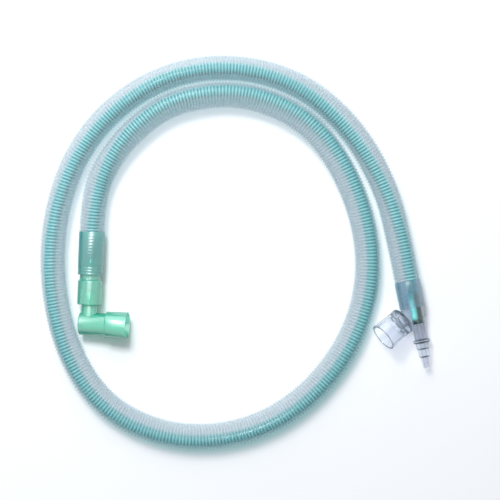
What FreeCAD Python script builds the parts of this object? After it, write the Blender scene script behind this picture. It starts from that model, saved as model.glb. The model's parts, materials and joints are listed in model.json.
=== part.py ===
"""Coaxial breathing hose: a corrugated outer hose with a smooth inner tube, an elbow for the
patient and a branched machine end. Millimetres. X and Y lie in the plane that the hose rests on
and Z points up. The origin is on that plane, midway between the outermost sides of the end
fittings."""
import FreeCAD
import Part
import Sketcher
import math
import os
from FreeCAD import Placement, Rotation, Vector

SIZES = {
    # Corrugated hose, its inner tube and the clearance of every push fit
    "hose_outer_diameter": 25.3,
    "hose_wall": 1.5,
    "tube_outer_diameter": 11.0,
    "tube_wall": 1.5,
    "tube_straight_run": 34.0,
    "push_clearance": 0.05,
    # Soft cuffs
    "cuff_bore": 22.0,
    "cuff_wall": 1.4,
    "patient_cuff_length": 41.3,
    "machine_cuff_length": 26.0,
    "cuff_groove_start": 3.0,
    "cuff_groove_pitch": 3.0,
    "cuff_groove_count": 4,
    "cuff_groove_width": 1.2,
    "cuff_groove_depth": 0.35,
    "grip_groove_pitch": 2.6,
    "grip_groove_count": 3,
    "grip_groove_width": 1.3,
    "grip_groove_depth": 0.35,
    "grip_lip_width": 1.6,
    "cuff_edge_radius": 0.4,
    # Patient connector between the cuff and the elbow
    "connector_spigot_depth": 14.4,
    "connector_gap": 4.7,
    "connector_gap_wall": 1.0,
    "connector_bore": 18.6,
    "collar_length": 24.0,
    "collar_diameter": 23.8,
    "collar_top_chamfer": 0.5,
    "collar_foot_chamfer": 1.4,
    "web_thickness": 3.0,
    "web_bore": 12.4,
    # Elbow, turned in its socket so that its port is tipped up
    "elbow_tip": 8.0,
    "neck_diameter": 15.3,
    "neck_bore": 12.2,
    "neck_insertion": 11.4,
    "neck_exposed": 7.8,
    "barrel_diameter": 21.4,
    "barrel_bore": 17.8,
    "barrel_closed_side": 9.0,
    "barrel_end_wall": 2.0,
    "barrel_end_radius": 1.2,
    "barrel_open_side": 17.3,
    "elbow_collar_length": 20.5,
    "elbow_collar_wall": 1.4,
    "elbow_collar_chamfer": 0.6,
    "elbow_socket_bore": 22.4,
    "elbow_socket_floor": 1.9,
    # Spider that holds the inner tube's patient end in the middle of the connector
    "spider_depth": 17.0,
    "spider_length": 6.0,
    "spider_ring_wall": 0.9,
    "spider_hub_wall": 1.1,
    "spider_stop": 1.2,
    "spider_stop_bore": 8.4,
    "vane_thickness": 1.0,
    "vane_count": 3,
    # Machine end body: a barrel in the cuff, a stem beside its middle and a branch for the side port
    "body_spigot_depth": 7.0,
    "body_barrel_reach": 9.5,
    "body_wall": 1.7,
    "body_roof_height": 2.5,
    "body_roof_diameter": 17.0,
    "stem_offset": 3.0,
    "stem_diameter": 13.1,
    "stem_length": 19.7,
    "branch_lip_gap": 0.15,
    "branch_angle": 63.3,
    "branch_roll": 20.0,
    "branch_neck_diameter": 16.8,
    "branch_bore": 13.6,
    "branch_reach": 13.2,
    # Side port
    "port_insertion": 2.6,
    "port_bore": 11.6,
    "port_flange_step": 0.45,
    "port_flange_thickness": 3.8,
    "port_flange_chamfer": 0.35,
    "port_wall": 1.65,
    "port_rim_wall": 1.4,
    "port_length": 23.0,
    "port_socket_bore": 22.4,
    "port_socket_depth": 17.5,
    "port_flare_depth": 6.0,
    "port_mouth_bore": 24.6,
    # Fresh gas nozzle, plugged into the stem and into the inner tube
    "nozzle_tube_seat": 8.0,
    "nozzle_plug_start": 4.0,
    "nozzle_bore": 4.6,
    "nozzle_tip_bore": 3.6,
    "nozzle_flange_diameter": 16.4,
    "nozzle_flange_thickness": 3.0,
    "nozzle_flange_radius": 0.8,
    "nozzle_root_diameter": 12.6,
    "nozzle_root_length": 6.0,
    "nozzle_middle_diameter": 10.6,
    "nozzle_middle_length": 7.8,
    "nozzle_tip_step_diameter": 7.9,
    "nozzle_tip_length": 10.4,
    "nozzle_tip_diameter": 5.6,
    "nozzle_step_taper": 0.6,
}

# Corner points of the outer hose's route, from the patient end clockwise to the machine end.
HOSE_ROUTE = [
    (-155.0, 65.5),
    (-153.9, 97.0),
    (-143.0, 128.0),
    (-118.0, 161.5),
    (-77.5, 191.5),
    (-12.0, 200.0),
    (49.5, 175.5),
    (87.0, 128.0),
    (109.5, 64.0),
    (109.0, 2.0),
    (84.5, -56.0),
    (38.5, -103.5),
    (-19.0, -129.0),
    (-84.0, -129.5),
    (-142.0, -102.0),
    (-178.0, -51.5),
    (-193.5, 13.0),
    (-192.0, 76.0),
    (-173.0, 137.0),
    (-135.5, 186.0),
    (-79.0, 219.0),
    (-13.5, 225.5),
    (47.0, 207.5),
    (95.0, 166.5),
    (127.0, 109.0),
    (139.9, 57.0),
    (147.5, 18.0),
]

# Corner points of the inner tube's route between its straight ends, with heights from the hose's
# axis. The tube sinks to the bottom of the hose's bore and leans on the outer side of the bends.
TUBE_ROUTE = [
    (-153.6, 84.0, -3.2),
    (-142.5, 128.0, -4.8),
    (-120.0, 163.5, -4.3),
    (-78.5, 195.0, -3.6),
    (-11.5, 204.5, -2.4),
    (52.0, 179.0, -2.2),
    (91.0, 130.5, -1.4),
    (114.0, 65.0, -1.4),
    (113.5, 1.0, -1.4),
    (88.5, -58.5, -1.4),
    (41.5, -107.5, -1.4),
    (-18.0, -133.5, -1.4),
    (-85.0, -134.0, -1.4),
    (-145.0, -105.5, -1.4),
    (-182.0, -53.5, -1.6),
    (-197.5, 12.5, -2.0),
    (-194.0, 76.5, -4.4),
    (-172.5, 136.5, -4.8),
    (-134.0, 184.5, -4.5),
    (-79.0, 218.5, -4.8),
    (-13.5, 225.0, -4.8),
    (46.0, 205.5, -4.3),
    (92.0, 164.0, -3.2),
    (127.0, 109.0, -4.7),
    (144.5, 58.0, -2.4),
]

# Share of the shorter run beside a corner that its arc takes up.
ARC_SHARE = 0.45

# Two edges or points closer than this are the same.
TOUCH = 1e-4

doc = FreeCAD.newDocument("breathing_hose")
sheet = doc.addObject("Spreadsheet::Sheet", "sizes")
for row, (alias, number) in enumerate(SIZES.items(), start=1):
    sheet.set(f"A{row}", alias)
    sheet.set(f"B{row}", str(number))
    sheet.setAlias(f"B{row}", alias)
doc.recompute()


def size(name):
    return float(sheet.get(name))


def bind(feature, **formulas):
    """Ties properties of a feature to sizes. A double underscore stands for the dot in a path."""
    for path, formula in formulas.items():
        feature.setExpression(path.replace("__", "."), formula)


def origin_feature(body, role):
    return next(item for item in body.Origin.OriginFeatures if item.Role == role)


def new_body(name):
    body = doc.addObject("PartDesign::Body", name)
    body.Label = name
    return body


def new_sketch(body, name, plane):
    sketch = body.newObject("Sketcher::SketchObject", name)
    sketch.AttachmentSupport = [(origin_feature(body, plane), "")]
    sketch.MapMode = "FlatFace"
    return sketch


def pin_coordinate(sketch, kind, line, formula):
    """Holds a sketch line's start point at a distance from the origin, given as a formula."""
    value = float(sketch.evalExpression(formula))
    if abs(value) < 1e-9:
        axis = -2 if kind == "DistanceX" else -1
        sketch.addConstraint(Sketcher.Constraint("PointOnObject", line, 1, axis))
        return
    if value > 0:
        constraint = Sketcher.Constraint(kind, -1, 1, line, 1, value)
        signed = formula
    else:
        constraint = Sketcher.Constraint(kind, line, 1, -1, 1, -value)
        signed = f"-({formula})"
    index = sketch.addConstraint(constraint)
    sketch.setExpression(f"Constraints[{index}]", signed)


def closed_profile(sketch, corners):
    """Draws a closed outline. Each corner is a pair of formulas of the sizes, across and up."""
    points = []
    for across, up in corners:
        x = float(sketch.evalExpression(across))
        y = float(sketch.evalExpression(up))
        points.append(Vector(x, y, 0))
    following = points[1:] + points[:1]
    lines = []
    for start, end in zip(points, following):
        lines.append(sketch.addGeometry(Part.LineSegment(start, end), False))
    for line, next_line in zip(lines, lines[1:] + lines[:1]):
        sketch.addConstraint(Sketcher.Constraint("Coincident", line, 2, next_line, 1))
    for line, (across, up) in zip(lines, corners):
        pin_coordinate(sketch, "DistanceX", line, across)
        pin_coordinate(sketch, "DistanceY", line, up)


def turned(body, name, corners, cut=False, axis="V_Axis", across="0", along="0", lean="0"):
    """Revolves an outline of the XZ plane, as a solid or as a cut, about an axis of its sketch,
    which may stand aside, further along or at a lean."""
    sketch = new_sketch(body, name + "_profile", "XZ_Plane")
    sketch.AttachmentOffset = Placement(Vector(0, 0, 0), Rotation(Vector(0, 0, 1), 1))
    bind(
        sketch,
        AttachmentOffset__Base__x=across,
        AttachmentOffset__Base__y=along,
        AttachmentOffset__Rotation__Angle=lean,
    )
    closed_profile(sketch, corners)
    feature = body.newObject("PartDesign::Groove" if cut else "PartDesign::Revolution", name)
    feature.Profile = sketch
    feature.ReferenceAxis = (sketch, [axis])
    feature.Angle = 360
    doc.recompute()
    return feature


def cylinder(radius, start, end):
    """Outline of a cylinder about the sketch's vertical axis."""
    return [("0", start), (radius, start), (radius, end), ("0", end)]


def ring(inner_radius, outer_radius, start, end):
    return [(inner_radius, start), (outer_radius, start), (outer_radius, end), (inner_radius, end)]


def repeated_along(body, name, feature, pitch, count):
    """Repeats a feature along its sketch's vertical axis."""
    pattern = body.newObject("PartDesign::LinearPattern", name)
    pattern.Originals = [feature]
    pattern.Direction = (feature.Profile[0], ["V_Axis"])
    bind(pattern, Length=f"({count} - 1) * {pitch}", Occurrences=count)
    body.Tip = pattern
    doc.recompute()


def circle_edges(shape, centre, radius):
    """Names of a shape's circular edges with that centre and radius."""
    names = []
    for number, edge in enumerate(shape.Edges, start=1):
        if not isinstance(edge.Curve, Part.Circle):
            continue
        if edge.Curve.Center.isEqual(centre, TOUCH) and abs(edge.Curve.Radius - radius) < TOUCH:
            names.append(f"Edge{number}")
    return names


def dressed(body, name, kind, circles, amount):
    """Rounds or bevels the edges at the given circles, each a centre and a radius."""
    base = body.Tip
    edges = []
    for centre, radius in circles:
        edges += circle_edges(base.Shape, centre, radius)
    if not edges:
        raise ValueError(f"{body.Label}: {name} finds no edge")
    feature = body.newObject(kind, name)
    feature.Base = (base, edges)
    if kind == "PartDesign::Fillet":
        bind(feature, Radius=amount)
    else:
        bind(feature, Size=amount)
    doc.recompute()


def at_height(height):
    return Vector(0, 0, height)


def unit(vector):
    return vector / vector.Length


def end_frame(end, before):
    """Frame of a hose end: origin on the end face, Z out of the hose, Y up and X level."""
    outward = unit(end - before)
    lean = math.degrees(math.atan2(outward.x, -outward.y))
    return Placement(end, Rotation(Vector(0, 0, 1), lean) * Rotation(Vector(1, 0, 0), 90))


def moved(frame, x_shift=0.0, z_shift=0.0, roll=0.0, lean=0.0):
    """A frame moved in its own axes, then rolled about its Z or leant about its Y."""
    turn = Rotation(Vector(0, 0, 1), roll) * Rotation(Vector(0, 1, 0), -lean)
    return frame.multiply(Placement(Vector(x_shift, 0, z_shift), turn))


def rounded_path(corners):
    """Straight runs joined by tangent arcs, each as large as its two runs allow."""
    edges = []
    radii = []
    start = corners[0]
    for before, corner, after in zip(corners, corners[1:], corners[2:]):
        coming = unit(corner - before)
        going = unit(after - corner)
        reach = ARC_SHARE * min((corner - before).Length, (after - corner).Length)
        radius = reach / math.tan(coming.getAngle(going) / 2)
        radii.append(radius)
        arc_start = corner - coming * reach
        arc_end = corner + going * reach
        corner_cut = math.hypot(radius, reach) - radius
        arc_middle = corner + unit(going - coming) * corner_cut
        edges.append(Part.LineSegment(start, arc_start).toShape())
        edges.append(Part.Arc(arc_start, arc_middle, arc_end).toShape())
        start = arc_end
    edges.append(Part.LineSegment(start, corners[-1]).toShape())
    return Part.Wire(edges), radii


def swept_tube(name, corners, outer_diameter, wall):
    """A plain tube along a rounded path. Prints its arcs' radii and its volume's check."""
    path, radii = rounded_path(corners)
    bore = outer_diameter - 2 * wall
    along = corners[1] - corners[0]
    outer_circle = Part.Wire(Part.makeCircle(outer_diameter / 2, corners[0], along))
    bore_circle = Part.Wire(Part.makeCircle(bore / 2, corners[0], along))
    ring_face = Part.makeFace([outer_circle, bore_circle], "Part::FaceMakerBullseye")
    feature = doc.addObject("Part::Feature", name)
    feature.Label = name
    feature.Shape = path.makePipe(ring_face)
    section = math.pi * (outer_diameter**2 - bore**2) / 4
    ratio = feature.Shape.Volume / (section * path.Length)
    print(f"{name}: length {path.Length:.1f} mm, volume over section times length {ratio:.5f}")
    listed = " ".join(f"{radius:.0f}" for radius in radii)
    print(f"{name}: smallest radius {min(radii):.1f} mm, all {listed}")


def soft_cuff(name, length, frame):
    """A soft cuff on the hose's end, with grooves inside over the hose's root and outside at its
    lip for the grip."""
    body = new_body(name)
    body.Placement = frame
    inner = "sizes.cuff_bore / 2"
    outer = "sizes.cuff_bore / 2 + sizes.cuff_wall"
    turned(body, name + "_wall", ring(inner, outer, "0", length))
    root_depth = f"{inner} + sizes.cuff_groove_depth"
    root_end = "sizes.cuff_groove_start + sizes.cuff_groove_width"
    root_outline = ring("0", root_depth, "sizes.cuff_groove_start", root_end)
    root = turned(body, name + "_root_groove", root_outline, cut=True)
    root_repeat = ("sizes.cuff_groove_pitch", "sizes.cuff_groove_count")
    repeated_along(body, name + "_root_grooves", root, *root_repeat)
    grip_reach = "(sizes.grip_groove_count - 1) * sizes.grip_groove_pitch"
    grip_end = f"{length} - sizes.grip_lip_width - {grip_reach}"
    grip_outline = ring(
        f"{outer} - sizes.grip_groove_depth",
        f"{outer} + sizes.grip_groove_depth",
        f"{grip_end} - sizes.grip_groove_width",
        grip_end,
    )
    grip = turned(body, name + "_grip_groove", grip_outline, cut=True)
    grip_repeat = ("sizes.grip_groove_pitch", "sizes.grip_groove_count")
    repeated_along(body, name + "_grip_grooves", grip, *grip_repeat)
    lip = float(body.evalExpression(length))
    lip_circle = (at_height(lip), size("cuff_bore") / 2 + size("cuff_wall"))
    dressed(body, name + "_lip", "PartDesign::Fillet", [lip_circle], "sizes.cuff_edge_radius")
    return body


def patient_connector(frame):
    """Rigid connector: its spigot sits in the cuff and its collar takes the elbow's neck."""
    body = new_body("patient_connector")
    body.Placement = frame
    bore = "sizes.connector_bore / 2"
    spigot = "sizes.cuff_bore / 2 - sizes.push_clearance"
    gap = "sizes.connector_bore / 2 + sizes.connector_gap_wall"
    collar = "sizes.collar_diameter / 2"
    collar_foot = "sizes.connector_spigot_depth + sizes.connector_gap"
    top = f"{collar_foot} + sizes.collar_length"
    socket = "sizes.neck_diameter / 2 + sizes.push_clearance"
    socket_floor = f"{top} - sizes.neck_insertion"
    web = "sizes.web_bore / 2"
    web_foot = f"{socket_floor} - sizes.web_thickness"
    outline = [
        (bore, "0"),
        (spigot, "0"),
        (spigot, "sizes.connector_spigot_depth"),
        (gap, "sizes.connector_spigot_depth"),
        (gap, collar_foot),
        (collar, collar_foot),
        (collar, top),
        (socket, top),
        (socket, socket_floor),
        (web, socket_floor),
        (web, web_foot),
        (bore, web_foot),
    ]
    turned(body, "connector_body", outline)
    collar_radius = size("collar_diameter") / 2
    foot_circle = (at_height(float(body.evalExpression(collar_foot))), collar_radius)
    top_circle = (at_height(connector_length), collar_radius)
    dressed(body, "collar_foot", "PartDesign::Chamfer", [foot_circle], "sizes.collar_foot_chamfer")
    dressed(body, "collar_top", "PartDesign::Chamfer", [top_circle], "sizes.collar_top_chamfer")
    return body


def patient_elbow(frame):
    """Right-angled elbow: a neck for the connector, and a barrel across it with a socket at its
    open end."""
    body = new_body("patient_elbow")
    body.Placement = frame
    closed_end = "-sizes.barrel_closed_side"
    collar_start = "sizes.barrel_open_side"
    mouth = "sizes.barrel_open_side + sizes.elbow_collar_length"
    barrel = "sizes.barrel_diameter / 2"
    socket = "sizes.elbow_socket_bore / 2"
    collar = f"{socket} + sizes.elbow_collar_wall"
    neck_tip = "-sizes.neck_insertion - sizes.neck_exposed - sizes.barrel_diameter / 2"
    barrel_outline = [
        (closed_end, "0"),
        (mouth, "0"),
        (mouth, collar),
        (collar_start, collar),
        (collar_start, barrel),
        (closed_end, barrel),
    ]
    turned(body, "elbow_barrel", barrel_outline, axis="H_Axis")
    turned(body, "elbow_neck", cylinder("sizes.neck_diameter / 2", neck_tip, "0"))
    closed_circle = (Vector(-size("barrel_closed_side"), 0, 0), size("barrel_diameter") / 2)
    dressed(body, "elbow_closed_end", "PartDesign::Fillet", [closed_circle], "sizes.barrel_end_radius")
    collar_radius = size("elbow_socket_bore") / 2 + size("elbow_collar_wall")
    collar_circle = (Vector(size("barrel_open_side"), 0, 0), collar_radius)
    chamfer = "sizes.elbow_collar_chamfer"
    dressed(body, "elbow_collar_foot", "PartDesign::Chamfer", [collar_circle], chamfer)
    bore_end = "-sizes.barrel_closed_side + sizes.barrel_end_wall"
    bore = "sizes.barrel_bore / 2"
    socket_floor = f"{collar_start} + sizes.elbow_socket_floor"
    bore_outline = [
        (bore_end, "0"),
        (mouth, "0"),
        (mouth, socket),
        (socket_floor, socket),
        (socket_floor, bore),
        (bore_end, bore),
    ]
    turned(body, "elbow_bore", bore_outline, cut=True, axis="H_Axis")
    turned(body, "elbow_neck_bore", cylinder("sizes.neck_bore / 2", neck_tip, "0"), cut=True)
    return body


def inner_tube_spider(frame):
    """Spider in the connector: a hub on the inner tube's end, held in a ring by vanes."""
    body = new_body("inner_tube_spider")
    body.Placement = frame
    seat = "sizes.tube_outer_diameter / 2 + sizes.push_clearance"
    hub = f"{seat} + sizes.spider_hub_wall"
    rim = "sizes.connector_bore / 2 - sizes.push_clearance"
    rim_inside = f"{rim} - sizes.spider_ring_wall"
    stop_foot = "sizes.spider_length - sizes.spider_stop"
    hub_outline = [
        (seat, "0"),
        (hub, "0"),
        (hub, "sizes.spider_length"),
        ("sizes.spider_stop_bore / 2", "sizes.spider_length"),
        ("sizes.spider_stop_bore / 2", stop_foot),
        (seat, stop_foot),
    ]
    turned(body, "spider_hub", hub_outline)
    sketch = new_sketch(body, "vane_outline", "XY_Plane")
    vane_root = f"{seat} + sizes.spider_hub_wall / 2"
    vane_tip = f"{rim} - sizes.spider_ring_wall / 2"
    half = "sizes.vane_thickness / 2"
    closed_profile(sketch, ring(vane_root, vane_tip, f"-{half}", half))
    vane = body.newObject("PartDesign::Pad", "vane")
    vane.Profile = sketch
    bind(vane, Length="sizes.spider_length")
    doc.recompute()
    vanes = body.newObject("PartDesign::PolarPattern", "vanes")
    vanes.Originals = [vane]
    vanes.Axis = (sketch, ["N_Axis"])
    vanes.Angle = 360
    bind(vanes, Occurrences="sizes.vane_count")
    body.Tip = vanes
    doc.recompute()
    turned(body, "spider_rim", ring(rim_inside, rim, "0", "sizes.spider_length"))
    return body


def machine_body(frame):
    """Clear end body: a barrel in the cuff, a stem for the nozzle and a leaning branch for the
    side port."""
    body = new_body("machine_body")
    body.Placement = frame
    barrel = "sizes.cuff_bore / 2 - sizes.push_clearance"
    barrel_top = "sizes.body_spigot_depth + sizes.body_barrel_reach"
    roof_top = f"{barrel_top} + sizes.body_roof_height"
    stem_top = f"{roof_top} + sizes.stem_length"
    barrel_outline = [
        ("0", "0"),
        (barrel, "0"),
        (barrel, barrel_top),
        ("sizes.body_roof_diameter / 2", roof_top),
        ("0", roof_top),
    ]
    turned(body, "body_barrel", barrel_outline)
    stem_outline = cylinder("sizes.stem_diameter / 2", barrel_top, stem_top)
    turned(body, "body_stem", stem_outline, across="sizes.stem_offset")
    branch_height = f"sizes.body_spigot_depth + {BRANCH_START}"
    neck_outline = cylinder("sizes.branch_neck_diameter / 2", "0", "sizes.branch_reach")
    branch_axis = {"along": branch_height, "lean": "sizes.branch_angle"}
    turned(body, "body_branch", neck_outline, **branch_axis)
    chamber = cylinder(f"{barrel} - sizes.body_wall", "0", barrel_top)
    turned(body, "body_chamber", chamber, cut=True)
    stem_hole = "sizes.tube_outer_diameter / 2 + sizes.push_clearance"
    stem_bore = cylinder(stem_hole, barrel_top, stem_top)
    turned(body, "body_stem_bore", stem_bore, cut=True, across="sizes.stem_offset")
    branch_bore = cylinder("sizes.branch_bore / 2", "0", "sizes.branch_reach")
    turned(body, "body_branch_bore", branch_bore, cut=True, **branch_axis)
    return body


def side_port(frame):
    """Large port for the breathing limb, with its foot fixed in the branch and a flared mouth."""
    body = new_body("side_port")
    body.Placement = frame
    hole = "sizes.port_bore / 2"
    foot = "sizes.branch_bore / 2 - sizes.push_clearance"
    socket = "sizes.port_socket_bore / 2"
    base = f"{socket} + sizes.port_wall"
    flange = f"{base} + sizes.port_flange_step"
    flange_top = "sizes.port_flange_thickness"
    mouth_height = "sizes.port_flange_thickness + sizes.port_length"
    mouth_bore = "sizes.port_mouth_bore / 2"
    socket_floor = f"{mouth_height} - sizes.port_socket_depth"
    outline = [
        (hole, "-sizes.port_insertion"),
        (foot, "-sizes.port_insertion"),
        (foot, "0"),
        (flange, "0"),
        (flange, flange_top),
        (base, flange_top),
        (f"{mouth_bore} + sizes.port_rim_wall", mouth_height),
        (mouth_bore, mouth_height),
        (socket, f"{mouth_height} - sizes.port_flare_depth"),
        (socket, socket_floor),
        (hole, socket_floor),
    ]
    turned(body, "port_body", outline)
    flange_radius = float(body.evalExpression(flange))
    flange_circles = []
    for height in (0, size("port_flange_thickness")):
        flange_circles.append((at_height(height), flange_radius))
    chamfer = "sizes.port_flange_chamfer"
    dressed(body, "port_flange_edges", "PartDesign::Chamfer", flange_circles, chamfer)
    return body


def fresh_gas_nozzle(frame):
    """Stepped nozzle: a foot in the inner tube's end, a plug in the stem and steps for a gas hose."""
    body = new_body("fresh_gas_nozzle")
    body.Placement = frame
    bore = "sizes.nozzle_bore / 2"
    foot = "sizes.tube_outer_diameter / 2 - sizes.tube_wall - sizes.push_clearance"
    plug = "sizes.tube_outer_diameter / 2"
    flange = "sizes.nozzle_flange_diameter / 2"
    flange_foot = "sizes.nozzle_tube_seat + sizes.stem_length - sizes.nozzle_plug_start"
    flange_top = f"{flange_foot} + sizes.nozzle_flange_thickness"
    root_top = f"{flange_top} + sizes.nozzle_root_length"
    middle_top = f"{root_top} + sizes.nozzle_middle_length"
    tip = f"{middle_top} + sizes.nozzle_tip_length"
    root = "sizes.nozzle_root_diameter / 2"
    middle = "sizes.nozzle_middle_diameter / 2"
    taper = "sizes.nozzle_step_taper / 2"
    outline = [
        (bore, "0"),
        (foot, "0"),
        (foot, "sizes.nozzle_tube_seat"),
        (plug, "sizes.nozzle_tube_seat"),
        (plug, flange_foot),
        (flange, flange_foot),
        (flange, flange_top),
        (root, flange_top),
        (f"{root} - {taper}", root_top),
        (middle, root_top),
        (f"{middle} - {taper}", middle_top),
        ("sizes.nozzle_tip_step_diameter / 2", middle_top),
        ("sizes.nozzle_tip_diameter / 2", tip),
        ("sizes.nozzle_tip_bore / 2", tip),
        (bore, middle_top),
    ]
    turned(body, "nozzle_body", outline)
    flange_radius = size("nozzle_flange_diameter") / 2
    flange_circles = []
    for height in (flange_foot, flange_top):
        flange_circles.append((at_height(float(body.evalExpression(height))), flange_radius))
    rounding = "sizes.nozzle_flange_radius"
    dressed(body, "nozzle_flange_edges", "PartDesign::Fillet", flange_circles, rounding)
    return body


# The branch starts where its neck clears the cuff's lip.
BRANCH_START = (
    "(sizes.branch_lip_gap + sizes.branch_neck_diameter / 2 / sin(sizes.branch_angle)"
    " - sizes.cuff_bore / 2 / tan(sizes.branch_angle))"
)

axis_height = size("hose_outer_diameter") / 2
hose_corners = [Vector(x, y, axis_height) for x, y in HOSE_ROUTE]
patient_frame = end_frame(hose_corners[0], hose_corners[1])
machine_frame = moved(end_frame(hose_corners[-1], hose_corners[-2]), roll=-size("branch_roll"))

# Places along the two fitting axes, counted from the hose's end faces.
connector_start = size("patient_cuff_length") - size("connector_spigot_depth")
connector_length = size("connector_spigot_depth") + size("connector_gap") + size("collar_length")
neck_above_connector = size("neck_exposed") + size("barrel_diameter") / 2
elbow_axis = connector_start + connector_length + neck_above_connector
spider_start = connector_start + size("spider_depth")
tube_patient_end = spider_start + size("spider_length") - size("spider_stop")
body_start = size("machine_cuff_length") - size("body_spigot_depth")
branch_origin = size("machine_cuff_length") + float(sheet.evalExpression(BRANCH_START))
roof_top = size("machine_cuff_length") + size("body_barrel_reach") + size("body_roof_height")
tube_machine_end = roof_top + size("nozzle_plug_start")
nozzle_start = tube_machine_end - size("nozzle_tube_seat")

tube_corners = []
for distance in (tube_patient_end, tube_patient_end - size("tube_straight_run")):
    tube_corners.append(patient_frame.multVec(at_height(distance)))
for x, y, rise in TUBE_ROUTE:
    tube_corners.append(Vector(x, y, axis_height + rise))
for distance in (tube_machine_end - size("tube_straight_run"), tube_machine_end):
    tube_corners.append(machine_frame.multVec(Vector(size("stem_offset"), 0, distance)))

swept_tube("outer_hose", hose_corners, size("hose_outer_diameter"), size("hose_wall"))
swept_tube("inner_hose", tube_corners, size("tube_outer_diameter"), size("tube_wall"))
soft_cuff("patient_cuff", "sizes.patient_cuff_length", patient_frame)
soft_cuff("machine_cuff", "sizes.machine_cuff_length", machine_frame)
patient_connector(moved(patient_frame, z_shift=connector_start))
inner_tube_spider(moved(patient_frame, z_shift=spider_start))
patient_elbow(moved(patient_frame, z_shift=elbow_axis, roll=size("elbow_tip")))
machine_body(moved(machine_frame, z_shift=body_start))
branch_frame = moved(machine_frame, z_shift=branch_origin, lean=size("branch_angle"))
side_port(moved(branch_frame, z_shift=size("branch_reach")))
fresh_gas_nozzle(moved(machine_frame, x_shift=size("stem_offset"), z_shift=nozzle_start))
doc.recompute()

for item in doc.Objects:
    if "Invalid" in item.State or "Error" in item.State:
        raise RuntimeError(f"{item.Label} failed: {item.State}")
pieces = [item for item in doc.Objects if item.TypeId in ("PartDesign::Body", "Part::Feature")]
for piece in pieces:
    if piece.Shape.isNull() or not piece.Shape.isValid() or len(piece.Shape.Solids) != 1:
        raise RuntimeError(f"{piece.Label} is not one valid solid")

os.makedirs("parts", exist_ok=True)
for piece in pieces:
    piece.Shape.exportStep(f"parts/{piece.Label}.step")
    box = piece.Shape.BoundBox
    low = f"({box.XMin:.1f}, {box.YMin:.1f}, {box.ZMin:.2f})"
    high = f"({box.XMax:.1f}, {box.YMax:.1f}, {box.ZMax:.2f})"
    print(f"{piece.Label}: volume {piece.Shape.Volume:.0f} mm3, from {low} to {high}")
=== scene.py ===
"""Coaxial breathing hose lying in a loose spiral on a pale floor, seen from straight above."""

import json
import math

import bmesh
import bpy
import numpy as np
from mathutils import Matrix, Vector
from mathutils.kdtree import KDTree


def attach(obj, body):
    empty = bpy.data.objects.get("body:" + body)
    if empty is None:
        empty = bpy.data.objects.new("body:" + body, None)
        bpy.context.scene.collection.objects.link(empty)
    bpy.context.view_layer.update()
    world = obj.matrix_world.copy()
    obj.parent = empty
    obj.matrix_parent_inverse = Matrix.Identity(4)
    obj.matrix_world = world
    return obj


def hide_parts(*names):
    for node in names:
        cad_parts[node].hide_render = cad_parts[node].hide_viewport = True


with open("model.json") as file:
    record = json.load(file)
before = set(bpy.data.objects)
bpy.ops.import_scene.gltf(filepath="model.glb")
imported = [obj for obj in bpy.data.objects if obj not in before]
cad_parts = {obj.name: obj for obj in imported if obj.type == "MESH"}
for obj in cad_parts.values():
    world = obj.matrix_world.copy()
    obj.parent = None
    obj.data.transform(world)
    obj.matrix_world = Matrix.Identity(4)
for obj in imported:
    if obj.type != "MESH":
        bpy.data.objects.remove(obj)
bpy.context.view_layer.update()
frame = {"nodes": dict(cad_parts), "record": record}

# Sizes of the hose and its inner tube, in metres. The relief is the depth of the rings' valleys.
HOSE_DIAMETER = 0.0253
HOSE_PITCH = 0.0031
HOSE_RELIEF = 0.0011
HOSE_WALL = 0.0004
TUBE_DIAMETER = 0.0110
TUBE_WALL = 0.0015
AXIS_HEIGHT = HOSE_DIAMETER / 2

# Stations of one ring: the share of the pitch passed there, and the share of the relief reached.
RING_PROFILE = ((0.0, 0.0), (0.2, 0.62), (0.4, 1.0), (0.6, 1.0), (0.8, 0.62))

# Facets round the hose and round the tube, and stations along the tube and along each bore.
HOSE_SIDES = 28
TUBE_SIDES = 32
PLAIN_STATIONS = 260

# Seen from above, the film is painted in the tube's lit colour, a painted light, from this far outside
# the tube's side, and fully this much further in. The tube's line is looked up at points this far
# apart.
OVER_TUBE_MARGIN = 0.001
OVER_TUBE_FADE = 0.0035
TUBE_LINE_STEP = 0.001

# End of the tube that sits in the machine end: its length, the value that darkens its tip, and the
# distance back over which that value falls by 1.
SEATED_LENGTH = 0.030
TIP_DARKNESS = 1.6
TIP_FADE = 0.0065

# Fine rings on a cuff: their pitch, the places in Y where they begin and where they are full, and
# their height beside the unevenness of the skin, which is 1.
CUFF_RING_PITCH = 0.0029
CUFF_RINGS_BEGIN = 0.040
CUFF_RINGS_FULL = 0.044
CUFF_RING_STRENGTH = 11.0

# Painted shade: dark rings on clear plastic, for the dark edges that bent light gives at the port's
# mouth and thick flange and at the nozzle's steps: how far back along the mount's axis, and half the
# width.
# The nozzle is slightly grey elsewhere. Points within this share of the half width are marked.
PORT_DARK_RINGS = ((-0.01175, 0.0009), (0.0132, 0.0019))
NOZZLE_DARK_RINGS = ((0.0104, 0.0008), (0.0182, 0.0008), (0.0242, 0.0008), (0.0272, 0.0008))
NOZZLE_GREY = 0.06
RING_CORE = 0.9

# Share of a milky plastic's light that comes through it from behind.
LIGHT_FROM_BEHIND = 0.3

# Moulded copies: points this close are merged, facets that meet at less than this are joined, and
# edges sharper than this are rounded.
MERGE_DISTANCE = 2e-6
FLAT_ANGLE = math.radians(0.5)
SHARP_ANGLE = math.radians(32)

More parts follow.
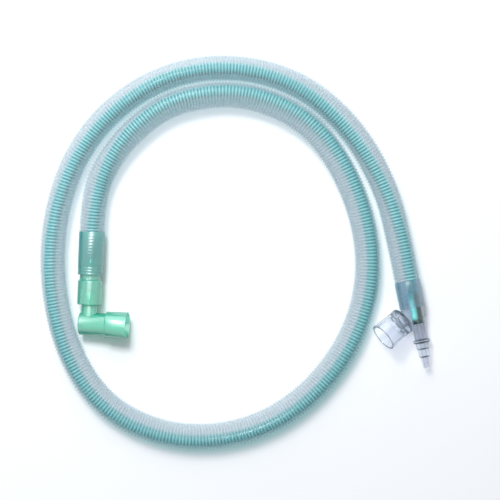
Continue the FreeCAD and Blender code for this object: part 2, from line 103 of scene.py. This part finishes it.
# Corner points of the two routes, as the solids have them, apart from the four of each route at the
# loop's bottom, which lie 1.3 to 1.5 mm further out.
HOSE_ROUTE = [
    (-0.1550, 0.0655, AXIS_HEIGHT),
    (-0.1539, 0.0970, AXIS_HEIGHT),
    (-0.1430, 0.1280, AXIS_HEIGHT),
    (-0.1180, 0.1615, AXIS_HEIGHT),
    (-0.0775, 0.1915, AXIS_HEIGHT),
    (-0.0120, 0.2000, AXIS_HEIGHT),
    (0.0495, 0.1755, AXIS_HEIGHT),
    (0.0870, 0.1280, AXIS_HEIGHT),
    (0.1095, 0.0640, AXIS_HEIGHT),
    (0.1090, 0.0020, AXIS_HEIGHT),
    (0.0845, -0.0560, AXIS_HEIGHT),
    (0.0385, -0.1048, AXIS_HEIGHT),
    (-0.0190, -0.1305, AXIS_HEIGHT),
    (-0.0840, -0.1310, AXIS_HEIGHT),
    (-0.1425, -0.1032, AXIS_HEIGHT),
    (-0.1780, -0.0515, AXIS_HEIGHT),
    (-0.1935, 0.0130, AXIS_HEIGHT),
    (-0.1920, 0.0760, AXIS_HEIGHT),
    (-0.1730, 0.1370, AXIS_HEIGHT),
    (-0.1355, 0.1860, AXIS_HEIGHT),
    (-0.0790, 0.2190, AXIS_HEIGHT),
    (-0.0135, 0.2255, AXIS_HEIGHT),
    (0.0470, 0.2075, AXIS_HEIGHT),
    (0.0950, 0.1665, AXIS_HEIGHT),
    (0.1270, 0.1090, AXIS_HEIGHT),
    (0.1399, 0.0570, AXIS_HEIGHT),
    (0.1475, 0.0180, AXIS_HEIGHT),
]
TUBE_ROUTE = [
    (-0.1567, 0.0168, AXIS_HEIGHT),
    (-0.1555, 0.0508, AXIS_HEIGHT),
    (-0.1536, 0.0840, AXIS_HEIGHT - 0.0032),
    (-0.1425, 0.1280, AXIS_HEIGHT - 0.0048),
    (-0.1200, 0.1635, AXIS_HEIGHT - 0.0043),
    (-0.0785, 0.1950, AXIS_HEIGHT - 0.0036),
    (-0.0115, 0.2045, AXIS_HEIGHT - 0.0024),
    (0.0520, 0.1790, AXIS_HEIGHT - 0.0022),
    (0.0910, 0.1305, AXIS_HEIGHT - 0.0014),
    (0.1140, 0.0650, AXIS_HEIGHT - 0.0014),
    (0.1135, 0.0010, AXIS_HEIGHT - 0.0014),
    (0.0885, -0.0585, AXIS_HEIGHT - 0.0014),
    (0.0415, -0.1088, AXIS_HEIGHT - 0.0014),
    (-0.0180, -0.1350, AXIS_HEIGHT - 0.0014),
    (-0.0850, -0.1355, AXIS_HEIGHT - 0.0014),
    (-0.1455, -0.1067, AXIS_HEIGHT - 0.0014),
    (-0.1820, -0.0535, AXIS_HEIGHT - 0.0016),
    (-0.1975, 0.0125, AXIS_HEIGHT - 0.0020),
    (-0.1940, 0.0765, AXIS_HEIGHT - 0.0044),
    (-0.1725, 0.1365, AXIS_HEIGHT - 0.0048),
    (-0.1340, 0.1845, AXIS_HEIGHT - 0.0045),
    (-0.0790, 0.2185, AXIS_HEIGHT - 0.0048),
    (-0.0135, 0.2250, AXIS_HEIGHT - 0.0048),
    (0.0460, 0.2055, AXIS_HEIGHT - 0.0043),
    (0.0920, 0.1640, AXIS_HEIGHT - 0.0032),
    (0.1270, 0.1090, AXIS_HEIGHT - 0.0047),
    (0.1445, 0.0580, AXIS_HEIGHT - 0.0024),
    (0.1518, 0.0107, 0.01162),
    (0.1583, -0.0227, 0.01162),
]


def linear(hex_colour):
    """An sRGB hex colour as the linear red, green, blue and alpha that shaders take."""
    channels = []
    for start in (0, 2, 4):
        value = int(hex_colour[start : start + 2], 16) / 255
        channels.append(value / 12.92 if value <= 0.04045 else ((value + 0.055) / 1.055) ** 2.4)
    return (*channels, 1.0)


def add_node(tree, kind, settings=(), links=()):
    """Adds a shader node, sets its inputs or properties by name and links sockets into its inputs."""
    node = tree.nodes.new(kind)
    for name, value in dict(settings).items():
        if hasattr(node, name) and name not in node.inputs:
            setattr(node, name, value)
        else:
            node.inputs[name].default_value = value
    for name, socket in dict(links).items():
        tree.links.new(socket, node.inputs[name])
    return node


def mix_shaders(tree, share, first, second):
    """Mixes two shaders. The share of the second is a number or a socket."""
    mix = add_node(tree, "ShaderNodeMixShader")
    if isinstance(share, float):
        mix.inputs[0].default_value = share
    else:
        tree.links.new(share, mix.inputs[0])
    tree.links.new(first, mix.inputs[1])
    tree.links.new(second, mix.inputs[2])
    return mix.outputs[0]


def mix_colours(tree, share, first, second):
    """Mixes two colours, each a socket or a hex colour. The share of the second is a socket."""
    mix = add_node(tree, "ShaderNodeMix", {"data_type": "RGBA"}, {"Factor": share})
    first_colour, second_colour = 6, 7
    for place, colour in ((first_colour, first), (second_colour, second)):
        if isinstance(colour, str):
            mix.inputs[place].default_value = linear(colour)
        else:
            tree.links.new(colour, mix.inputs[place])
    return mix.outputs[2]


def colour_ramp(tree, value, low, high):
    """A colour between two ends, each a place on the ramp and a hex colour."""
    ramp = add_node(tree, "ShaderNodeValToRGB", links={"Fac": value})
    for element, (position, colour) in zip(ramp.color_ramp.elements, (low, high)):
        element.position = position
        element.color = linear(colour)
    return ramp.outputs["Color"]


def attribute(tree, name):
    """The value of a mesh attribute."""
    return add_node(tree, "ShaderNodeAttribute", {"attribute_name": name}).outputs["Fac"]


def edge_on_share(tree):
    """0 where a wall is seen square on, 1 where it is seen edge on."""
    return add_node(tree, "ShaderNodeLayerWeight", {"Blend": 0.5}).outputs["Facing"]


def milky_layer(tree, colour, roughness, normal=None):
    """Milky plastic that is lit from the front and, less, from behind."""
    links = {"Base Color": colour}
    if normal is not None:
        links["Normal"] = normal
    lit = add_node(tree, "ShaderNodeBsdfPrincipled", {"Roughness": roughness, "IOR": 1.5}, links)
    shone_through = add_node(tree, "ShaderNodeBsdfTranslucent", {}, {"Color": colour})
    return mix_shaders(tree, LIGHT_FROM_BEHIND, lit.outputs[0], shone_through.outputs[0])


def new_material(name):
    material = bpy.data.materials.new(name)
    material.use_nodes = True
    material.node_tree.nodes.clear()
    return material, material.node_tree


def finish_material(tree, shader, shadow_tint=None):
    """Ends a material. With a shadow tint, lamps shine through it, so that what lies inside or behind
    is lit."""
    surface = shader
    if shadow_tint:
        path = add_node(tree, "ShaderNodeLightPath")
        clear = add_node(tree, "ShaderNodeBsdfTransparent", {"Color": linear(shadow_tint)})
        surface = mix_shaders(tree, path.outputs["Is Shadow Ray"], shader, clear.outputs[0])
    add_node(tree, "ShaderNodeOutputMaterial", links={"Surface": surface})


def hose_film():
    """Blown polyethylene film: nearly clear in the rings' valleys and milky on their crests. The
    milkiness is partly painted highlight along the rings. It scatters light to both sides, so its far
    side is never dark. Where it lies over the tube it is painted a bright cyan, a painted light for
    the tube's lit colour seen through the rings."""
    material, tree = new_material("blown_polyethylene")
    over_tube = attribute(tree, "over_tube")
    # Painted light: over the tube, the film's colour turns bright cyan.
    colour = colour_ramp(tree, over_tube, (0.0, "E0E1E6"), (1.0, "B8ECEE"))
    valley_cover = add_node(
        tree,
        "ShaderNodeMapRange",
        {"To Min": 0.15, "To Max": 0.04},
        {"Value": over_tube},
    )
    crest_cover = add_node(
        tree,
        "ShaderNodeMapRange",
        {"To Min": 0.42, "To Max": 0.74},
        {"Value": over_tube},
    )
    ring_ends = {"To Min": valley_cover.outputs[0], "To Max": crest_cover.outputs[0]}
    # Milky crests, partly painted highlight along the rings.
    cloud = add_node(
        tree,
        "ShaderNodeMapRange",
        {},
        {"Value": attribute(tree, "crest"), **ring_ends},
    )
    edge_on = add_node(
        tree,
        "ShaderNodeMapRange",
        {"From Min": 0.15, "From Max": 0.5},
        {"Value": edge_on_share(tree)},
    )
    cover = add_node(
        tree,
        "ShaderNodeMix",
        {"B": 0.17},
        {"Factor": edge_on.outputs[0], "A": cloud.outputs[0]},
    )
    milky = milky_layer(tree, colour, 0.25)
    clear = add_node(tree, "ShaderNodeBsdfTransparent", {"Color": linear("F5F8F9")})
    film = mix_shaders(tree, cover.outputs[0], clear.outputs[0], milky)
    finish_material(tree, film, "E5E9EA")
    return material


def moulded_skin(tree, rings):
    """The slight unevenness of a moulded skin, drawn by bump, with fine rings where rings is above
    0."""
    place = add_node(tree, "ShaderNodeTexCoord").outputs["Object"]
    noise = add_node(
        tree,
        "ShaderNodeTexNoise",
        {"Scale": 1 / 0.006, "Detail": 3.0},
        {"Vector": place},
    )
    split = add_node(tree, "ShaderNodeSeparateXYZ", links={"Vector": place})
    turns = add_node(tree, "ShaderNodeMath", {"operation": "MULTIPLY"})
    turns.inputs[1].default_value = 2 * math.pi / CUFF_RING_PITCH
    tree.links.new(split.outputs["Y"], turns.inputs[0])
    wave = add_node(tree, "ShaderNodeMath", {"operation": "SINE"})
    tree.links.new(turns.outputs[0], wave.inputs[0])
    reach = add_node(
        tree,
        "ShaderNodeMapRange",
        {"From Min": CUFF_RINGS_BEGIN, "From Max": CUFF_RINGS_FULL, "To Max": rings},
        {"Value": split.outputs["Y"]},
    )
    height = add_node(tree, "ShaderNodeMath", {"operation": "MULTIPLY_ADD"})
    tree.links.new(wave.outputs[0], height.inputs[0])
    tree.links.new(reach.outputs[0], height.inputs[1])
    tree.links.new(noise.outputs["Fac"], height.inputs[2])
    bump = add_node(
        tree,
        "ShaderNodeBump",
        {"Strength": 0.12, "Distance": 0.0001},
        {"Height": height.outputs[0]},
    )
    return bump.outputs["Normal"]


def cloudy_plastic(name, colour, edge_colour, inside_tint, cover, roughness, gloss, rings=0.0):
    """Tinted plastic that lets what is inside show through it. It is deeper where it is seen edge on,
    and light comes through it from behind. Its glossy skin mirrors the lamps, on the inside of a wall
    only towards where it is seen edge on."""
    material, tree = new_material(name)
    normal = moulded_skin(tree, rings)
    facing = edge_on_share(tree)
    tint = colour_ramp(tree, facing, (0.05, colour), (0.6, edge_colour))
    thick_and_dark_edge = add_node(
        tree,
        "ShaderNodeMapRange",
        {"From Max": 0.7, "To Min": cover, "To Max": min(1.0, cover + 0.35)},
        {"Value": facing},
    )
    clear = add_node(tree, "ShaderNodeBsdfTransparent", {"Color": linear(inside_tint)})
    milky = milky_layer(tree, tint, roughness, normal)
    body = mix_shaders(tree, thick_and_dark_edge.outputs[0], clear.outputs[0], milky)
    skin = add_node(tree, "ShaderNodeBsdfGlossy", {"Roughness": roughness}, {"Normal": normal})
    wall_side = add_node(tree, "ShaderNodeNewGeometry")
    outside = add_node(
        tree,
        "ShaderNodeMapRange",
        {"To Min": gloss, "To Max": 0.0},
        {"Value": wall_side.outputs["Backfacing"]},
    )
    shine = add_node(
        tree,
        "ShaderNodeMapRange",
        {"To Max": 0.3},
        {"Value": facing, "To Min": outside.outputs[0]},
    )
    whole = mix_shaders(tree, shine.outputs[0], body, skin.outputs[0])
    finish_material(tree, whole)
    return material


def teal_tube_plastic():
    """Extruded tinted tube: smooth and satin, and paler where its wall is seen edge on. In the machine
    end one side is painted a bright mint and the other a deep bottle green, painted light and shade
    for how the lamp falls on it, and it is darker towards its tip. That end is marked by the attribute
    that marks the crests on the hose."""
    material, tree = new_material("extruded_tube")
    wall = colour_ramp(tree, edge_on_share(tree), (0.1, "068A90"), (0.9, "70BEC2"))
    # Painted light and shade: one side of the seated end is painted mint, the other side deep green.
    painted_lit_side_and_dark_tip = colour_ramp(tree, attribute(tree, "painted_lit_side_and_dark_tip"), (0.3, "6ED8CC"), (0.6, "003C34"))
    tint = mix_colours(tree, attribute(tree, "crest"), wall, painted_lit_side_and_dark_tip)
    shader = add_node(
        tree,
        "ShaderNodeBsdfPrincipled",
        {"Roughness": 0.22, "IOR": 1.5, "Coat Weight": 0.5},
        {"Base Color": tint},
    )
    finish_material(tree, shader.outputs[0], "CAEEEC")
    return material


def clear_styrene():
    """Injection moulded styrene: water clear and glossy, greyer where its wall is seen edge on, and
    painted darker in marked rings, a painted shade for the dark edges that bent light gives. Its index
    is near 1, far below the real plastic's, so it hardly bends what is seen through it."""
    material, tree = new_material("moulded_styrene")
    wall = colour_ramp(tree, edge_on_share(tree), (0.5, "F3F5F9"), (0.8, "9AA6B4"))
    # Painted shade: marked rings are mixed towards dark grey.
    colour = mix_colours(tree, attribute(tree, "thick_and_dark_edge"), wall, "56666F")
    shader = add_node(
        tree,
        "ShaderNodeBsdfPrincipled",
        {
            "Roughness": 0.03,
            "IOR": 1.06,
            "Transmission Weight": 1.0,
            "Coat Weight": 0.5,
        },
        {"Base Color": colour},
    )
    finish_material(tree, shader.outputs[0], "C4C7D0")
    return material


def route_points(name, corners):
    """Points along the smooth line of a route, read from its NURBS spline."""
    curve = bpy.data.curves.new(name, "CURVE")
    curve.dimensions = "3D"
    curve.resolution_u = 12
    spline = curve.splines.new("NURBS")
    spline.points.add(len(corners) - 1)
    for point, corner in zip(spline.points, corners):
        point.co = (*corner, 1.0)
    spline.order_u = 3
    spline.use_endpoint_u = True
    holder = bpy.data.objects.new(name, curve)
    mesh = bpy.data.meshes.new_from_object(holder)
    points = np.array([vertex.co[:] for vertex in mesh.vertices])
    bpy.data.objects.remove(holder)
    bpy.data.meshes.remove(mesh)
    bpy.data.curves.remove(curve)
    return points


class Path:
    """A route's smooth line, asked for places and directions by the distance along it."""

    def __init__(self, points):
        self.points = points
        steps = np.linalg.norm(np.diff(points, axis=0), axis=1)
        self.distances = np.concatenate([[0.0], np.cumsum(steps)])
        self.length = self.distances[-1]

    def places(self, distances):
        columns = [np.interp(distances, self.distances, self.points[:, axis]) for axis in range(3)]
        return np.stack(columns, axis=1)

    def frames(self, distances):
        """Places, sideways and upward directions at the distances."""
        reach = 0.002
        ahead = self.places(np.minimum(distances + reach, self.length))
        behind = self.places(np.maximum(distances - reach, 0.0))
        along = ahead - behind
        along /= np.linalg.norm(along, axis=1)[:, None]
        side = np.cross(along, (0.0, 0.0, 1.0))
        side /= np.linalg.norm(side, axis=1)[:, None]
        up = np.cross(side, along)
        return self.places(distances), side, up


def new_piece(name, bm):
    mesh = bpy.data.meshes.new(name)
    bm.to_mesh(mesh)
    bm.free()
    piece = bpy.data.objects.new(name, mesh)
    bpy.context.scene.collection.objects.link(piece)
    return piece


def dress(piece, material):
    piece.data.materials.clear()
    piece.data.materials.append(material)


def tube_on_path(name, path, stations, around):
    """A tube with a wall that follows a path. Its stations run along the outside and back along the
    bore, each a distance, a radius and a value for the attribute crest. A grid is rolled up both ways:
    its x runs over the stations and back to the first, and its y round the path."""
    bm = bmesh.new()
    count = len(stations)
    bmesh.ops.create_grid(bm, x_segments=count, y_segments=around, size=0.5)
    crest = bm.verts.layers.float.new("crest")
    places, side, up = path.frames(np.array([distance for distance, radius, height in stations]))
    for vertex in bm.verts:
        station = round((vertex.co.x + 0.5) * count) % count
        turn = 2 * math.pi * (vertex.co.y + 0.5)
        distance, radius, height = stations[station]
        outward = side[station] * math.cos(turn) + up[station] * math.sin(turn)
        vertex.co = Vector(places[station] + outward * radius)
        vertex[crest] = height
    bmesh.ops.remove_doubles(bm, verts=bm.verts, dist=1e-6)
    bmesh.ops.recalc_face_normals(bm, faces=bm.faces)
    for face in bm.faces:
        face.smooth = True
    return new_piece(name, bm)


def corrugated_hose(path):
    """Outer hose: wide rounded rings with narrow valleys, square to its line, on a plain bore."""
    ring_count = round(path.length / HOSE_PITCH)
    pitch = path.length / ring_count
    valley = HOSE_DIAMETER / 2 - HOSE_RELIEF
    bore = valley - HOSE_WALL
    stations = []
    for ring in range(ring_count):
        for share, height in RING_PROFILE:
            radius = HOSE_DIAMETER / 2 - HOSE_RELIEF * (1 - height)
            stations.append(((ring + share) * pitch, radius, height))
    stations.append((path.length, valley, 0.0))
    back = np.linspace(path.length, 0.0, PLAIN_STATIONS)
    stations += [(distance, bore, 0.0) for distance in back]
    return tube_on_path("corrugated_hose", path, stations, HOSE_SIDES)


def mark_over_tube(hose, tube_path):
    """Marks where the hose lies over the tube, seen from above."""
    line = tube_path.places(np.arange(0.0, tube_path.length, TUBE_LINE_STEP))
    tube_line = KDTree(len(line))
    for number, place in enumerate(line):
        tube_line.insert((place[0], place[1], 0.0), number)
    tube_line.balance()
    over_tube = hose.data.attributes.new("over_tube", "FLOAT", "POINT")
    reach = TUBE_DIAMETER / 2 + OVER_TUBE_MARGIN
    for vertex, value in zip(hose.data.vertices, over_tube.data):
        beside = tube_line.find((vertex.co.x, vertex.co.y, 0.0))[2]
        value.value = min(1.0, max(0.0, (reach - beside) / OVER_TUBE_FADE))


def smooth_tube(path):
    """Inner tube. The end that sits in the machine end is marked with painted light and shade: one
    side light, the other side dark, and darker still towards the tip.
    """
    outward = np.linspace(0.0, path.length, PLAIN_STATIONS)
    bore = TUBE_DIAMETER / 2 - TUBE_WALL
    seated = path.length - SEATED_LENGTH
    stations = [(distance, TUBE_DIAMETER / 2, float(distance > seated)) for distance in outward]
    stations += [(distance, bore, float(distance > seated)) for distance in outward[::-1]]
    tube = tube_on_path("inner_tube", path, stations, TUBE_SIDES)
    places, sides, _ = path.frames(np.array([path.length]))
    end = Vector(places[0])
    side = Vector(sides[0])
    painted_lit_side_and_dark_tip = tube.data.attributes.new("painted_lit_side_and_dark_tip", "FLOAT", "POINT")
    for vertex, value in zip(tube.data.vertices, painted_lit_side_and_dark_tip.data):
        # Painted light and shade across the tube, and darker towards the tip.
        across = 0.5 - (vertex.co - end).dot(side) / TUBE_DIAMETER
        back = (vertex.co - end).length
        value.value = max(across, TIP_DARKNESS - back / TIP_FADE)
    return tube


def moulded_copy(node, name, material, rounding):
    """A copy of a moulded piece whose sharp edges are rounded as a mould leaves them."""
    bm = bmesh.new()
    bm.from_mesh(frame["nodes"][node].data)
    bmesh.ops.remove_doubles(bm, verts=bm.verts, dist=MERGE_DISTANCE)
    bmesh.ops.dissolve_limit(
        bm,
        angle_limit=FLAT_ANGLE,
        verts=bm.verts,
        edges=bm.edges,
    )
    for face in bm.faces:
        face.smooth = True
    piece = new_piece(name, bm)
    bevel = piece.modifiers.new("rounding", "BEVEL")
    bevel.width = rounding
    bevel.segments = 2
    bevel.limit_method = "ANGLE"
    bevel.angle_limit = SHARP_ANGLE
    bevel.harden_normals = True
    dress(piece, material)
    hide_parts(node)
    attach(piece, "root")
    return piece


def mark_rings(piece, mount_name, rings, elsewhere):
    """Cuts narrow rings round a clear piece and marks them to be painted darker, a painted shade for
    the dark edges that bent light gives. A ring is a distance back along a mount's axis, and half its
    width. The rest of the piece is marked by the share given as elsewhere."""
    mount = next(mount for mount in frame["record"]["mounts"] if mount["name"] == mount_name)
    axis = Vector(mount["axis"])
    start = Vector(mount["pos_m"])
    bm = bmesh.new()
    bm.from_mesh(piece.data)
    for distance, half_width in rings:
        for shift in (-half_width, 0.0, half_width):
            bmesh.ops.bisect_plane(
                bm,
                geom=bm.verts[:] + bm.edges[:] + bm.faces[:],
                dist=1e-6,
                plane_co=start - axis * (distance + shift),
                plane_no=axis,
            )
    thick_and_dark_edge = bm.verts.layers.float.new("thick_and_dark_edge")
    for vertex in bm.verts:
        vertex[thick_and_dark_edge] = elsewhere
        back = (start - vertex.co).dot(axis)
        for distance, half_width in rings:
            if abs(back - distance) < half_width * RING_CORE:
                vertex[thick_and_dark_edge] = 1.0
    bm.to_mesh(piece.data)
    bm.free()


def seen_rays(tree):
    """Says which rays show the white backdrop: those of the camera, of gloss and of clear plastic."""
    path = add_node(tree, "ShaderNodeLightPath")
    gloss_or_clear = add_node(tree, "ShaderNodeMath", {"operation": "MAXIMUM"})
    tree.links.new(path.outputs["Is Glossy Ray"], gloss_or_clear.inputs[0])
    tree.links.new(path.outputs["Is Transmission Ray"], gloss_or_clear.inputs[1])
    seen = add_node(tree, "ShaderNodeMath", {"operation": "MAXIMUM"})
    tree.links.new(path.outputs["Is Camera Ray"], seen.inputs[0])
    tree.links.new(gloss_or_clear.outputs[0], seen.inputs[1])
    return seen.outputs[0]


def paper_floor():
    """Seamless white paper. What is seen of it glows faintly near the part, where it keeps the
    shadows, and more and more from 0.4 m to 1.3 m out, where it is as white as the backdrop."""
    bm = bmesh.new()
    bmesh.ops.create_grid(bm, x_segments=1, y_segments=1, size=6.0)
    floor = new_piece("floor", bm)
    material, tree = new_material("seamless_paper")
    paper = add_node(tree, "ShaderNodeBsdfDiffuse", {"Color": linear("FCFDFF")})
    glow = add_node(tree, "ShaderNodeEmission", {"Color": linear("FFFFFF"), "Strength": 1.0})
    place = add_node(tree, "ShaderNodeTexCoord")
    from_middle = add_node(
        tree,
        "ShaderNodeVectorMath",
        {"operation": "LENGTH"},
        {"Vector": place.outputs["Object"]},
    )
    fade = add_node(
        tree,
        "ShaderNodeMapRange",
        {"From Min": 0.4, "From Max": 1.3, "To Min": 0.04, "To Max": 1.0},
        {"Value": from_middle.outputs["Value"]},
    )
    glowing = mix_shaders(tree, fade.outputs[0], paper.outputs[0], glow.outputs[0])
    surface = mix_shaders(tree, seen_rays(tree), paper.outputs[0], glowing)
    finish_material(tree, surface)
    dress(floor, material)


def studio_world():
    """A dim cool sky that lights the part, behind a backdrop that is seen as white."""
    world = bpy.data.worlds.new("studio")
    bpy.context.scene.world = world
    world.use_nodes = True
    world.node_tree.nodes.clear()
    tree = world.node_tree
    sky = add_node(tree, "ShaderNodeBackground", {"Color": linear("F4F8FC"), "Strength": 0.14})
    backdrop = add_node(tree, "ShaderNodeBackground", {"Color": linear("FFFFFF"), "Strength": 1.0})
    surface = mix_shaders(tree, seen_rays(tree), sky.outputs[0], backdrop.outputs[0])
    add_node(tree, "ShaderNodeOutputWorld", links={"Surface": surface})


def softbox(name, place, width, depth, power):
    """A cool studio lamp beyond the spiral's far side. It faces the line Y = 0 on the floor, straight
    in front of it."""
    lamp = bpy.data.lights.new(name, "AREA")
    lamp.shape = "RECTANGLE"
    lamp.size = width
    lamp.size_y = depth
    lamp.energy = power
    lamp.color = (0.96, 0.98, 1.0)
    holder = bpy.data.objects.new(name, lamp)
    bpy.context.scene.collection.objects.link(holder)
    holder.location = place
    holder.rotation_euler = (-math.atan2(place[1], place[2]), 0.0, 0.0)


def studio_lamps():
    """A broad overhead lamp, a small key lamp for firmer shadows and a low card on the far side."""
    softbox("overhead_softbox", (-0.42, 0.85, 2.0), width=1.6, depth=2.3, power=22.0)
    softbox("key_softbox", (-0.5, 1.15, 2.0), width=0.6, depth=0.6, power=37.0)
    softbox("far_wall_card", (-0.3, 2.1, 1.1), width=2.6, depth=2.0, power=16.0)


def camera_above():
    """Camera straight over the spiral, with a long lens. The picture is 480 mm wide at the hose's
    axis."""
    middle_x, middle_y = -0.0034, 0.048
    height = 2.0
    picture_width = 0.480
    camera = bpy.data.cameras.new("camera")
    camera.sensor_width = 36.0
    camera.lens = camera.sensor_width * (height - AXIS_HEIGHT) / picture_width
    holder = bpy.data.objects.new("camera", camera)
    bpy.context.scene.collection.objects.link(holder)
    holder.location = (middle_x, middle_y, height)
    bpy.context.scene.camera = holder


def render_settings():
    """The plain view transform, and bounces for the many clear walls that light passes."""
    scene = bpy.context.scene
    scene.view_settings.view_transform = "Standard"
    scene.cycles.max_bounces = 24
    scene.cycles.transmission_bounces = 20
    scene.cycles.transparent_max_bounces = 24
    scene.cycles.glossy_bounces = 6
    scene.cycles.diffuse_bounces = 3


def hose_and_tube():
    """The two cords, each in its own plastic."""
    film = hose_film()
    tube_plastic = teal_tube_plastic()
    hose_path = Path(route_points("hose_route", HOSE_ROUTE))
    tube_path = Path(route_points("tube_route", TUBE_ROUTE))
    hose = corrugated_hose(hose_path)
    mark_over_tube(hose, tube_path)
    dress(hose, film)
    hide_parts("outer_hose")
    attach(hose, "root")
    tube = smooth_tube(tube_path)
    dress(tube, tube_plastic)
    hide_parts("inner_hose")
    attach(tube, "root")


def cuffs_and_green_pieces():
    """The soft cuffs and the green pieces of the patient's end."""
    teal_cuff = cloudy_plastic(
        "moulded_cuff_over_teal",
        colour="7CDCD8",
        edge_colour="3EB0AA",
        inside_tint="CCF0EE",
        cover=0.22,
        roughness=0.36,
        gloss=0.14,
        rings=CUFF_RING_STRENGTH,
    )
    clear_cuff = cloudy_plastic(
        "moulded_cuff",
        colour="B8DAE6",
        edge_colour="88AABE",
        inside_tint="E6F2F8",
        cover=0.04,
        roughness=0.32,
        gloss=0.07,
    )
    green_plastic = cloudy_plastic(
        "moulded_green",
        colour="92FAE6",
        edge_colour="30BCA0",
        inside_tint="C4F8EC",
        cover=0.36,
        roughness=0.19,
        gloss=0.16,
    )
    moulded_copy("patient_cuff", "patient_end_cuff", teal_cuff, rounding=0.0002)
    moulded_copy("machine_cuff", "machine_end_cuff", clear_cuff, rounding=0.0002)
    moulded_copy("patient_connector", "green_connector", green_plastic, rounding=0.0003)
    moulded_copy("patient_elbow", "green_elbow", green_plastic, rounding=0.0004)


def clear_pieces():
    """The clear pieces. The two that lie furthest inside keep the solids' own meshes."""
    clear = clear_styrene()
    port = moulded_copy("side_port", "clear_port", clear, rounding=0.0003)
    mark_rings(port, "machine_port", PORT_DARK_RINGS, elsewhere=0.0)
    nozzle = moulded_copy("fresh_gas_nozzle", "clear_nozzle", clear, rounding=0.0002)
    mark_rings(nozzle, "fresh_gas_inlet", NOZZLE_DARK_RINGS, elsewhere=NOZZLE_GREY)
    for node in ("inner_tube_spider", "machine_body"):
        dress(frame["nodes"][node], clear)


render_settings()
hose_and_tube()
cuffs_and_green_pieces()
clear_pieces()
paper_floor()
studio_world()
studio_lamps()
camera_above()
